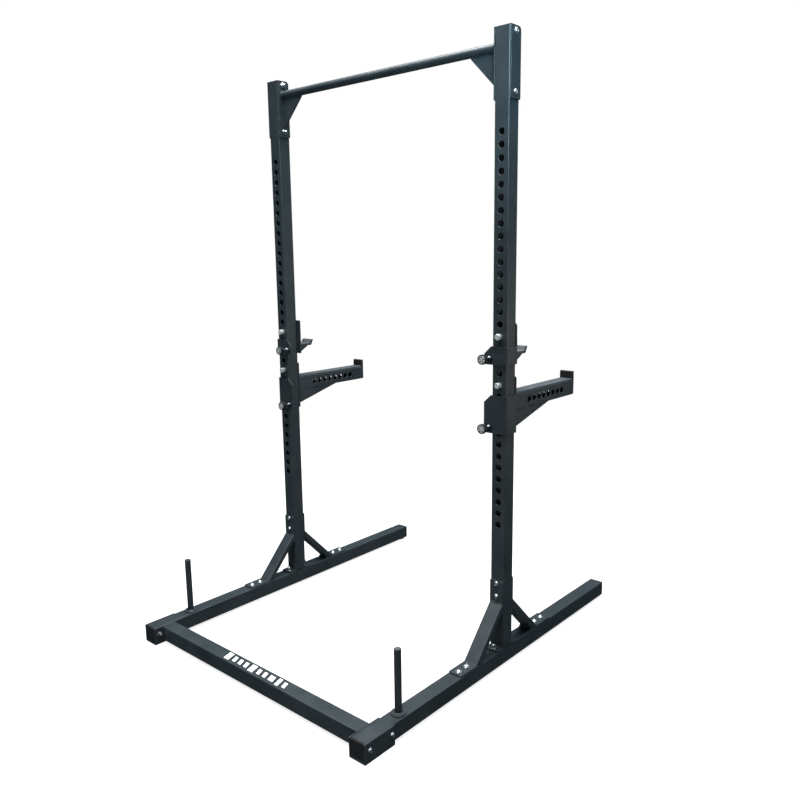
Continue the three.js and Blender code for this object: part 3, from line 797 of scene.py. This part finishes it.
def sleeve(part, s, bottom, top, rear_top, rear_inboard, rear_corner):
    """A plate folded round the upright: a flange in front, a cheek outboard, a plate behind."""
    c = OUT - BEND_OUT
    fold = FLANGE_OUT + BEND_OUT
    part.add(slab((s * IN, s * OUT), (fold, BACK_FROM + 1), (bottom, top), 1.6, 3))
    first, last = (-90, 0) if s > 0 else (270, 180)
    part.add(bend((s * c, fold), BEND_IN, BEND_OUT, first, last, bottom, top))
    inboard = -(HALF + FLANGE_REACH)
    flange = mirror([(c, bottom), (c, top), (inboard + FLANGE_CUT[0], top),
                     (inboard, top - FLANGE_CUT[1]), (inboard, bottom)], s)
    part.add(pierced(rounded(flange, [0, 0, 3, 3, 2]), (-s * PIN_X, bottom + PIN_RISE), PIN_HOLE,
                     FLANGE_OUT, FLANGE_IN, 1.7, 4))
    edge = IN + 1
    rear = mirror([(-(HALF + rear_inboard), bottom), (edge, bottom), (edge, rear_top),
                   (-(HALF + rear_inboard), rear_top)], s)
    part.add(prism(rounded(rear, [3, 2, rear_corner, 5]), BACK_FROM, BACK_TO, "y", 1.6, 3))
    # Paint gathers along the sleeve's cut top edge.
    lip = [(s * (IN - 30), FLANGE_OUT + 1.0), (s * (OUT - 6), FLANGE_OUT + 1.0),
           (s * (OUT - 1.6), FLANGE_OUT + 4.6), (s * (OUT - 1.0), BACK_FROM - 3)]
    part.add(bead([(*p, top - 0.9) for p in lip], 1.3))
    seam = (s * (edge + 0.6), BACK_FROM + 1.6)
    part.add(bead([(*seam, bottom + 3), (*seam, top - 3)], WELD_PLATE))


def pull_pin(name, s, offset, bottom):
    """Threaded barrel on the flange, and the sprung pin with its grip, parked out."""
    x, z = -s * PIN_X, bottom + PIN_RISE
    barrel = Piece(f"{name}_barrel", name, "bright_zinc", dark_zinc,
                   [f"{name}_pin_housing"], offset)
    flats, bore, crest, root, length = 9.5, 6.4, 7.9, 7.4, 12
    corner = hex_corner(flats)
    thread = [(root if k % 2 else crest, 7.3 + 0.7 * k) for k in range(1, 6)]
    barrel.add(lathe([(bore, 0), (flats, 0, 6, corner), (flats, 0.9, 6), (flats, 6.2, 6),
                      (flats, 7.1, 6, corner), (crest, 7.3), *thread, (7.6, 11.5),
                      (7.1, length), (bore, length), (bore, 0)],
                     along("y", (x, FLANGE_OUT - 0.3, z), -1), 36))
    barrel.make()
    tip = box(f"{name}_pin")[1].y - offset[1]
    knob_low, knob_high = box(f"{name}_knob")
    grip, face = knob_high.y - offset[1], knob_low.y - offset[1]
    body = f"{name}_pull_pin"
    pin = Piece(f"{name}_plunger", body, "chrome", chrome, [f"{name}_pin"], offset)
    length = tip - grip + 10
    pin.add(lathe([(0, 0), (5.2, 0), (6, 1.2), (6, length - 1), (5.4, length), (0, length)],
                  along("y", (x, tip, z), -1), 32))
    pin.make()
    knob = Piece(f"{name}_grip", body, "black_plastic", plastic, [f"{name}_knob"], offset)
    wide, deep, dish = (knob_high.x - knob_low.x) / 2, grip - face, 1.4
    shape = lathe([(6.3, 0), (12.4, 0), (14.0, 0.8), (14.6, 2.2), (14.9, 5), (wide - 2.0, 8),
                   (wide - 0.7, 10), (wide, 12.5), (wide, deep - 2.0), (wide - 0.6, deep - 0.6),
                   (wide - 1.6, deep), (wide - 2.6, deep), (wide - 2.8, deep - dish),
                   (0, deep - dish)], along("y", (x, grip, z), -1), 96)
    flutes, flute_depth = 16, 0.045
    for v in shape.verts:
        depth = grip - v.co.y
        away = Vector((v.co.x - x, v.co.z - z))
        if 8.5 < depth < deep - 1 and away.length > 15:
            turn = math.atan2(away.y, away.x)
            away *= 1 - flute_depth * (0.5 + 0.5 * math.cos(turn * flutes))
            v.co.x, v.co.z = x + away.x, z + away.y
    knob.add(shape)
    knob.make(30)
    # Bright end plate with a plain black star over it.
    cap = Piece(f"{name}_grip_face", body, "chrome", satin, (), offset)
    edge = face + dish
    rim = wide - 4.4
    cap.add(lathe([(0, 0), (rim, 0), (rim, 0.4), (rim - 0.5, 0.8), (4.6, 0.8), (3.8, 1.2),
                   (0, 1.3)], along("y", (x, edge, z), -1), 48))
    cap.make()
    star = Piece(f"{name}_grip_star", body, "black_plastic", plastic, (), offset)
    outline = ((5.4, 0.0), (7.6, -2.2), (rim - 1.6, -1.1), (rim - 1.6, 1.1), (7.6, 2.2))
    for k in range(5):
        a = math.radians(72 * k + 18)
        u, w = Vector((math.cos(a), 0, math.sin(a))), Vector((-math.sin(a), 0, math.cos(a)))
        point = bmesh.new()
        corners = []
        for level in (edge - 0.4, edge - 1.3):
            for p, q in outline:
                corners.append(point.verts.new(Vector((x, level, z)) + u * p + w * q))
        point.faces.new(corners[:5])
        point.faces.new(corners[:4:-1])
        join_rings(point, corners[:5], corners[5:])
        bmesh.ops.recalc_face_normals(point, faces=point.faces)
        round_over(point, point.edges[:], 0.25, 2)
        star.add(point)
    star.make()


def flat_pad(name, body, slot, mat, node, corners, edge, segments=3, axis="y"):
    """A sheet that fills its CAD node's box, with rounded corners across the axis."""
    low, high = box(node)
    a, b, c = PLANES[axis]
    outline = rect((low[a], high[a]), (low[b], high[b]))
    pad = Piece(name, body, slot, mat, [node])
    pad.add(prism(rounded(outline, corners), low[c], high[c], axis, edge, segments))
    pad.make()
    return low, high


def stud(name):
    low, high = box(f"{name}_stud")
    radius, length = (high.x - low.x) / 2, high.y - low.y
    part = Piece(f"{name}_hanger", name, "chrome", satin, [f"{name}_stud"])
    place = along("y", ((low.x + high.x) / 2, low.y, (low.z + high.z) / 2))
    part.add(lathe([(0, 0.6), (2.0, 0.6), (2.6, 0), (radius - 2.0, 0), (radius, 1.8),
                    (radius, length), (0, length)], place, 48))
    part.make()


# Heights from the stud's axis; reaches from the rear plate.
HOOK_BOTTOM, HOOK_TOP = -102, -35
SADDLE, SADDLE_WIDE, SADDLE_T, SADDLE_REACH = -64, 63, 6, 65
LIP_RUN, LIP_RISE = 12, 20
LIP_LEAN = LIP_RUN / LIP_RISE
HOOK_WEB, HOOK_WEB_BOTTOM = 49, -100
ARM_BOTTOM, ARM_TUBE, ARM_REACH = -180, (-98.0, -38.0), 422
ARM_WEB, ARM_WEB_BOTTOM = 233, -159
ARM_FIRST, ARM_PITCH, ARM_HOLES = 93, 34.3, 8
STOP_TOP, STOP_T = -3, 6
for label, s in SIDES:
    # J-hook: a folded saddle on the sleeve's rear plate, with a web under it.
    name = f"jhook_{label}"
    low, high = box(f"{name}_stud")
    offset = (s * SIDE, UP_FRONT, (low.z + high.z) / 2)
    part = Piece(f"{name}_weldment", name, "charcoal_paint", coat, [f"{name}_frame"], offset)
    sleeve(part, s, HOOK_BOTTOM, HOOK_TOP, 50, 20, 16)
    span = sorted((-s * (HALF + 10), -s * (HALF + 10 - SADDLE_WIDE)))
    foot, web = BACK_TO + SADDLE_REACH, BACK_TO + HOOK_WEB
    under, lip_top = SADDLE - SADDLE_T, SADDLE + LIP_RISE
    thick = SADDLE_T * math.hypot(1, LIP_LEAN)
    saddle = [(BACK_TO - 1, under), (foot + thick - 1, under),
              (foot + thick + LIP_RUN - 0.5, lip_top), (foot + LIP_RUN, lip_top), (foot, SADDLE),
              (BACK_TO - 1, SADDLE)]
    part.add(prism(rounded(saddle, [0, 7, 1.6, 1.6, 3, 0]), span[0], span[1], "x", 1.1, 3))
    side_view = [(BACK_TO - 1, HOOK_WEB_BOTTOM), (web, under - 2), (web, under + 1),
                 (BACK_TO - 1, under + 1)]
    part.add(prism(side_view, span[0] + 0.5, span[1] - 0.5, "x", 1.6, 3))
    for y, z, radius in ((BACK_TO + 0.4, SADDLE + 0.4, 1.4),
                         (BACK_TO + 0.6, HOOK_WEB_BOTTOM, WELD_PLATE),
                         (web, under - 0.6, WELD_WEB)):
        part.add(bead([(span[0] + 4, y, z), (span[1] - 4, y, z)], radius))
    part.make()
    stud(name)

    low, high = flat_pad(f"{name}_back_pad", name, "black_plastic", plastic,
                         f"{name}_back_liner", [2, 2, 5, 5], 1.4, 4)
    for k, level in enumerate((low.z + 14, high.z - 14)):
        screw = Piece(f"{name}_pad_screw_{k + 1}", name, "bright_zinc", zinc)
        screw.add(lathe([(0, 0), (5.2, 0), (5.0, 0.4), (2.6, 0.55, 6), (2.2, 0.2, 6), (0, 0.2)],
                        along("y", ((low.x + high.x) / 2, high.y - 0.15, level)), 36))
        screw.make()

    low, high = box(f"{name}_saddle_liner")
    seat = Piece(f"{name}_saddle_pad", name, "grey_liner", liner, [f"{name}_saddle_liner"])
    base, thin = low.z, 4.0
    lip = lambda h: UP_FRONT + foot + (h - (offset[2] + SADDLE)) * LIP_LEAN - 0.3
    shape = [(low.y, base), (lip(base), base), (lip(high.z), high.z), (lip(high.z) - thin, high.z),
             (lip(base + thin) - thin, base + thin), (low.y, base + thin)]
    seat.add(prism(rounded(shape, [0.6, 3, 1, 1.2, 3, 0.8]), low.x, high.x, "x", 0.8, 3))
    seat.make()
    pull_pin(name, s, offset, HOOK_BOTTOM)

    # Safety arm: a pierced tube with a tapered web under it and a stop plate on its end.
    name = f"safety_arm_{label}"
    low, high = box(f"{name}_stud")
    offset = (s * SIDE, UP_FRONT, (low.z + high.z) / 2)
    part = Piece(f"{name}_weldment", name, "charcoal_paint", coat, [f"{name}_frame"], offset)
    arm_bottom, arm_top = ARM_TUBE
    end = BACK_TO + ARM_REACH
    sleeve(part, s, ARM_BOTTOM, arm_top, 29, 0, 9)
    middle = (arm_top + arm_bottom) / 2
    spots = [BACK_TO + ARM_FIRST + ARM_PITCH * i for i in range(ARM_HOLES)]
    part.add(tube(lambda a, b, t: Vector((a, t, middle + b)), HALF, TUBE_R, WALL,
                  (BACK_TO - 0.5, end + 0.5), spots, HOLE_R, ARM_PITCH / 2))
    side_view = [(BACK_TO - 1, ARM_WEB_BOTTOM), (BACK_TO + 2, ARM_WEB_BOTTOM),
                 (BACK_TO + ARM_WEB, arm_bottom + 0.5), (BACK_TO - 1, arm_bottom + 0.5)]
    shape = prism(side_view, -HALF, HALF, "x", 0, 1)
    keel = [e for e in shape.edges if in_x_plane(e) and e.calc_length() > 200
            and all(v.co.z < arm_bottom + 0.6 for v in e.verts)
            and any(v.co.z < arm_bottom for v in e.verts)]
    round_over(shape, keel, 5, 5)
    part.add(shape)
    stop = rounded(rect((-HALF, HALF), (arm_bottom, STOP_TOP)), [5, 5, 2, 2])
    part.add(prism(stop, end, end + STOP_T, "y", 1.0, 3))
    for side in (-HALF + 0.4, HALF - 0.4):
        part.add(bead([(side, BACK_TO + 14, arm_bottom),
                       (side, BACK_TO + ARM_WEB - 11, arm_bottom)], 1.5))
        part.add(bead([(side, BACK_TO + 0.4, arm_top - 5),
                       (side, BACK_TO + 0.4, ARM_WEB_BOTTOM + 7)], WELD_PLATE))
        part.add(bead([(side, end - 0.2, arm_top - 5), (side, end - 0.2, arm_bottom + 5)], 1.7))
    part.add(bead([(-HALF + 5, BACK_TO + 0.5, arm_top), (HALF - 5, BACK_TO + 0.5, arm_top)], 1.8))
    part.make()
    stud(name)

    flat_pad(f"{name}_strip", name, "grey_liner", liner, f"{name}_liner", 3, 0.9, axis="z")
    flat_pad(f"{name}_end_pad", name, "black_plastic", plastic, f"{name}_stop_pad",
             [1, 1, 5, 5], 1.0)
    pull_pin(name, s, offset, ARM_BOTTOM)


# ---- Plain printed pattern on the cross tube, with no lettering -------------------------
mark = Piece("printed_bars", "rack", "charcoal_paint", ink)
deck, film = TOP + 0.08, 0.05
x, gap, tilt = -155.0, 17, 12
for k, wide in enumerate((26, 16, 16, 16, 26, 16, 16, 26, 16, 16)):
    reach = 20 if k % 4 == 0 else 14
    near, far = cross_y - reach, cross_y + reach
    outline = [(x, near), (x + wide, near), (x + wide - tilt, far), (x - tilt, far)]
    mark.add(prism(outline, deck - film, deck + film, "z", 0))
    x += wide + gap
mark.make()


# ---- Floor, light and camera -------------------------------------------------------------
FLOOR = 3.4
mesh = bpy.data.meshes.new("floor")
mesh.from_pydata([(-FLOOR, -FLOOR, 0), (FLOOR, -FLOOR, 0), (FLOOR, FLOOR, 0), (-FLOOR, FLOOR, 0)],
                 [], [(0, 1, 2, 3)])
obj = bpy.data.objects.new("floor", mesh)
obj.location.z = -0.0003
scene.collection.objects.link(obj)
# It glows a little, so that it is near white without throwing much light up at the rack.
pale = material("pale_floor", (0.25, 0.25, 0.25), 0.9, specular=0.0)
shade(pale, "Base Color", noise(pale, 1.5, 3), (0.24, 0.24, 0.24), (0.26, 0.26, 0.26))
glow = pale.node_tree.nodes["Principled BSDF"].inputs
glow["Emission Color"].default_value = (1, 1, 1, 1)
glow["Emission Strength"].default_value = 0.8
mesh.materials.append(pale)
obj.visible_glossy = False

# The backdrop shows white, and lights the rack as a dim room under a bright ceiling.
world = bpy.data.worlds.new("studio")
world.use_nodes = True
scene.world = world
nodes, links = world.node_tree.nodes, world.node_tree.links
sky = nodes["Background"]
where = nodes.new("ShaderNodeTexCoord")
split = nodes.new("ShaderNodeSeparateXYZ")
links.new(where.outputs["Generated"], split.inputs["Vector"])
room = nodes.new("ShaderNodeValToRGB")
stops = room.color_ramp.elements  # from straight down at 0 to straight up at 1
stops[0].color = (0.022, 0.026, 0.028, 1)
stops[-1].color = (0.52, 0.66, 0.74, 1)
stops.new(0.48).color = (0.012, 0.034, 0.048, 1)
stops.new(0.60).color = (0.05, 0.11, 0.145, 1)
lift = nodes.new("ShaderNodeMapRange")
lift.inputs["From Min"].default_value = -1.0
lift.inputs["From Max"].default_value = 1.0
links.new(split.outputs["Z"], lift.inputs["Value"])
links.new(lift.outputs["Result"], room.inputs["Fac"])
links.new(room.outputs["Color"], sky.inputs["Color"])
white = nodes.new("ShaderNodeBackground")
white.inputs["Color"].default_value = (1, 1, 1, 1)
rays = nodes.new("ShaderNodeLightPath")
either = nodes.new("ShaderNodeMixShader")
links.new(rays.outputs["Is Camera Ray"], either.inputs[0])
links.new(sky.outputs["Background"], either.inputs[1])
links.new(white.outputs["Background"], either.inputs[2])
links.new(either.outputs["Shader"], nodes["World Output"].inputs["Surface"])


def area(name, location, target, size, power, color=(1, 1, 1), spread=180):
    """A rectangle of light in watts, aimed at the target; a smaller spread narrows its beam."""
    light = bpy.data.lights.new(name, "AREA")
    light.spread = math.radians(spread)
    light.shape, light.size, light.size_y = "RECTANGLE", size[0], size[1]
    light.energy, light.color = power, color
    obj = bpy.data.objects.new(name, light)
    obj.location = location
    aim = Vector(target) - Vector(location)
    obj.rotation_mode = "QUATERNION"
    obj.rotation_quaternion = aim.to_track_quat("-Z", "Y")
    scene.collection.objects.link(obj)


area("overhead", (0.2, -0.4, 5.2), (0, -0.3, 0), (3.6, 3.6), 850)
area("front_left", (-3.2, -3.6, 3.9), (0, 0, 2.0), (1.4, 1.4), 2, (0.35, 0.76, 1.0))
area("right", (2.6, 1.3, 1.1), (0.62, 0.15, 1.05), (0.9, 0.7), 2.2, (1.0, 0.97, 0.93), 70)
area("low_front", (-0.2, -4.6, 1.0), (0, -0.3, 0.45), (2.0, 0.8), 1.8, spread=30)
area("top_right", (2.2, -1.6, 2.9), (0.6, 0, 2.25), (0.8, 0.5), 8, (0.55, 0.84, 1.0), 34)

view = bpy.data.cameras.new("camera")
view.sensor_width = 36.0
view.lens = 34.88
eye = Vector((2.1524, -2.3376, 1.5546))
view.clip_start, view.clip_end = 0.05, 100
camera = bpy.data.objects.new("camera", view)
yaw, pitch, roll = 0.7216, 0.1822, -0.0137
level = math.cos(pitch)
ahead = Vector((-math.sin(yaw) * level, math.cos(yaw) * level, -math.sin(pitch)))
across = Vector((math.cos(yaw), math.sin(yaw), 0))
upward = across.cross(ahead)
turned = across * math.cos(roll) + upward * math.sin(roll)
upward = upward * math.cos(roll) - across * math.sin(roll)
axes = Matrix((turned, upward, -ahead)).transposed()
camera.matrix_world = Matrix.Translation(eye) @ axes.to_4x4()
scene.collection.objects.link(camera)
scene.camera = camera
scene.view_settings.view_transform = "Standard"
